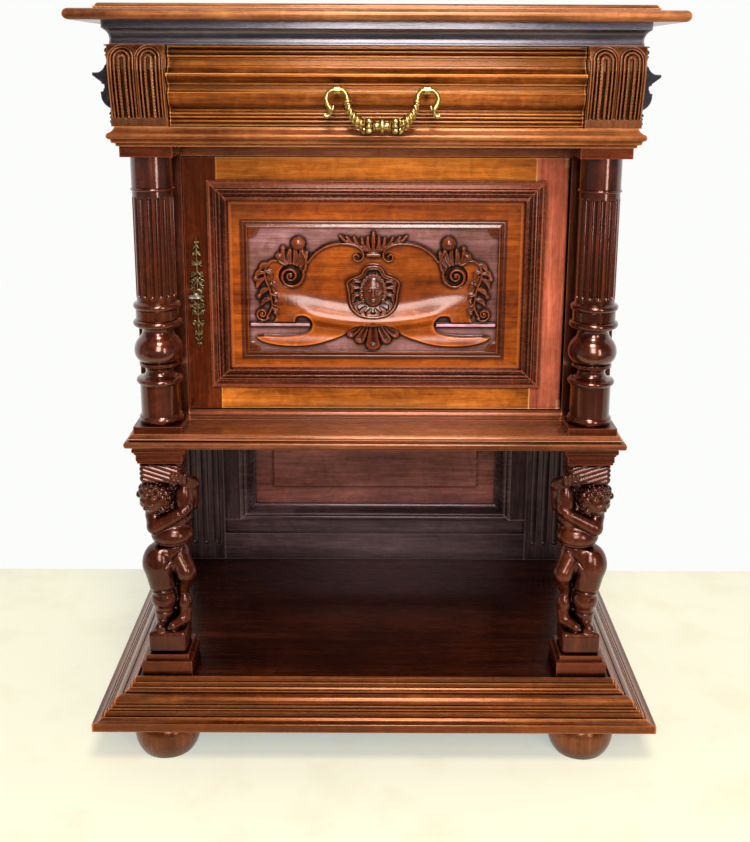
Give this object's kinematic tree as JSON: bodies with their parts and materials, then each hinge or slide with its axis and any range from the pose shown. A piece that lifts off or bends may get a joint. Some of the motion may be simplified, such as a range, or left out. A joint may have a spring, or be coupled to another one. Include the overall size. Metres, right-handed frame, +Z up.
{
  "type": "cabinet on stand",
  "caption": "Carved walnut cabinet on an open stand: a panelled door between turned columns under a moulded drawer, carried by putto supports on a moulded base with bun feet.",
  "frame": {"origin": "on the floor under the middle of the base", "axes": "+X to the right seen from the front, +Y to the back, +Z up"},
  "size_m": [0.95, 0.59, 1.257],
  "materials": {
    "walnut_light": "polished orange-brown walnut",
    "walnut_red": "polished red-brown walnut",
    "walnut_dark": "dark polished walnut",
    "oak_plain": "plain unpolished wood",
    "brass_aged": "aged cast brass",
    "steel_worn": "worn steel"
  },
  "bodies": {
    "cabinet": {"base_back_rail": "oak_plain", "base_corner_blocks": "oak_plain", "base_moulding_front": "walnut_light", "base_moulding_left": "walnut_light", "base_moulding_right": "walnut_light", "base_shelf": "walnut_dark", "case_backs": "oak_plain", "case_head_rail": "walnut_dark", "case_shelf": "oak_plain", "case_side_frames": "walnut_red", "case_side_panels": "walnut_red", "case_stiles": "walnut_dark", "column_abaci": "walnut_red", "column_left": "walnut_red", "column_plinths": "walnut_red", "column_right": "walnut_red", "corbel_left": "walnut_red", "corbel_right": "walnut_red", "cornice": "walnut_dark", "door_pivot_pins": "steel_worn", "door_sill": "walnut_dark", "drawer_guides": "oak_plain", "foot_front_left": "walnut_red", "foot_front_right": "walnut_red", "foot_rear_left": "walnut_red", "foot_rear_right": "walnut_red", "frieze_board": "walnut_light", "frieze_side_mouldings": "walnut_red", "frieze_sides": "walnut_red", "lower_back_moulding": "walnut_dark", "lower_back_panel": "walnut_dark", "lower_back_rails": "walnut_dark", "lower_back_stiles": "walnut_dark", "pilaster_left": "walnut_dark", "pilaster_right": "walnut_dark", "putto_capitals": "walnut_red", "putto_left": "walnut_red", "putto_plinths": "walnut_red", "putto_right": "walnut_red", "shelf_bearers": "oak_plain", "sub_top": "oak_plain", "top_board": "walnut_light", "top_tier": "walnut_light", "waist_board": "walnut_light"},
    "drawer": {"drawer_front": "walnut_red", "drawer_sides": "oak_plain", "drawer_back": "oak_plain", "drawer_bottom": "oak_plain", "bail_posts": "brass_aged"},
    "bail": {"bail": "brass_aged"},
    "door": {"door_stile_left": "walnut_light", "door_stile_right": "walnut_light", "door_rails": "walnut_light", "door_moulding": "walnut_red", "door_panel": "walnut_light", "door_pivot_bushes": "brass_aged", "lock_case": "steel_worn", "key_plate": "brass_aged"},
    "key": {"key": "steel_worn"},
    "bolt": {"lock_bolt": "steel_worn"}
  },
  "joints": [
    {"name": "drawer_slide", "type": "slide", "parent": "cabinet", "child": "drawer", "axis": [0, -1, 0], "range_m": [0, 0.33]},
    {"name": "handle_swing", "type": "hinge", "parent": "drawer", "child": "bail", "pos_m": [0, -0.248, 1.131], "axis": [-1, 0, 0], "range_deg": [0, 90]},
    {"name": "door_hinge", "type": "hinge", "parent": "cabinet", "child": "door", "pos_m": [0.311, -0.122, 0.594], "axis": [0, 0, 1], "range_deg": [0, 80]},
    {"name": "key_turn", "type": "hinge", "parent": "door", "child": "key", "pos_m": [-0.299, -0.129, 0.794], "axis": [0, -1, 0], "range_deg": [0, 180]},
    {"name": "bolt_throw", "type": "slide", "parent": "door", "child": "bolt", "axis": [-1, 0, 0], "range_m": [0, 0.008]}
  ],
  "couplings": [
    {"joint": "bolt_throw", "follows": "key_turn", "m_per_rad": 0.002546}
  ]
}
